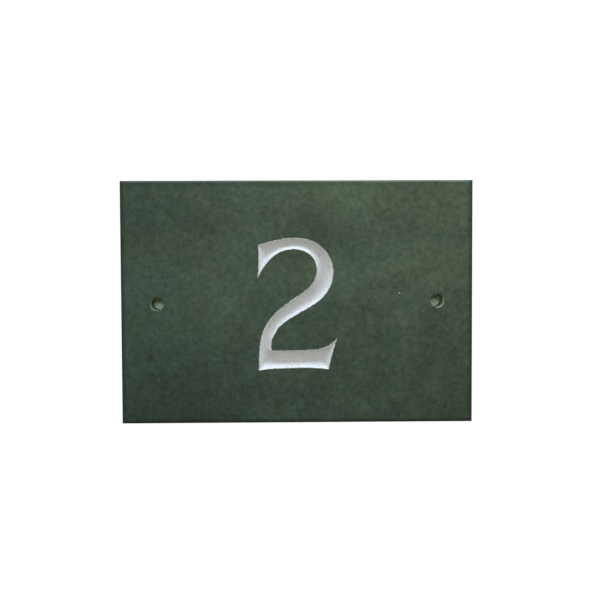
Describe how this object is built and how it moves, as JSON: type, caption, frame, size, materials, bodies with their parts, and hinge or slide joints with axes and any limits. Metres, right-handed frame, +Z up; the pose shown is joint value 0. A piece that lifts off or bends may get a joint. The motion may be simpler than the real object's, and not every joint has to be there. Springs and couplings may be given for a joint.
{
  "type": "house number plaque",
  "caption": "Rectangular honed slate house number plaque with a V-cut numeral painted white and a drilled screw hole near each end.",
  "frame": {"origin": "middle of the back face, where the plaque lies against the wall", "axes": "+X to the right as the plaque is read, +Z up, +Y into the wall; the carved face looks along -Y"},
  "size_m": [0.145, 0.01, 0.1],
  "materials": {
    "slate": "honed green slate with a fine mottled grain",
    "paint": "satin white enamel, brushed into the cut"
  },
  "bodies": {
    "root": {"slate_plaque": "slate", "numeral_paint": "paint"}
  },
  "joints": []
}
